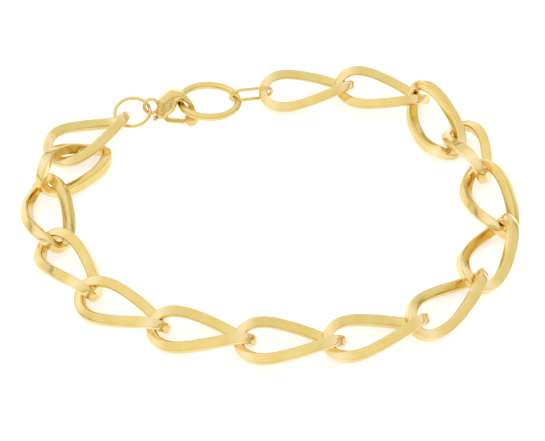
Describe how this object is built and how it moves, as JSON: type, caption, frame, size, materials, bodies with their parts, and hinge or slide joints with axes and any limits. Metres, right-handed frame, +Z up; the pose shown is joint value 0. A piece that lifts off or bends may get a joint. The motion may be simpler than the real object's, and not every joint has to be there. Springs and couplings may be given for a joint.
{
  "type": "link bracelet",
  "caption": "Gold bracelet of twisted oval curb links, closed with a lobster clasp on a round end ring, laid in a loop.",
  "frame": {"origin": "centre of the bracelet's bounding box in plan, on the surface it lies on", "axes": "+X to the right along the loop's longest side, +Y to the back where the clasp is, +Z up"},
  "size_m": [0.066, 0.0565, 0.0063],
  "materials": {
    "link_gold": "polished yellow gold",
    "wire_gold": "polished yellow gold wire",
    "clasp_gold": "polished yellow gold casting"
  },
  "bodies": {
    "bracelet": {"link_01": "link_gold", "link_02": "link_gold", "link_03": "link_gold", "link_04": "link_gold", "link_05": "link_gold", "link_06": "link_gold", "link_07": "link_gold", "link_08": "link_gold", "link_09": "link_gold", "link_10": "link_gold", "link_11": "link_gold", "link_12": "link_gold", "link_13": "link_gold", "link_14": "link_gold", "link_15": "link_gold", "jump_ring": "wire_gold", "clasp_body": "clasp_gold", "end_ring": "wire_gold", "connector": "wire_gold"},
    "lever": {"clasp_lever": "clasp_gold"}
  },
  "joints": [
    {"name": "lever_hinge", "type": "hinge", "parent": "bracelet", "child": "lever", "pos_m": [-0.01526, 0.01887, 0.00234], "axis": [0.165, -0.901, 0.4012], "range_deg": [0, 16], "stiffness_Nm_per_rad": 0.001, "springref_deg": -28.65}
  ]
}
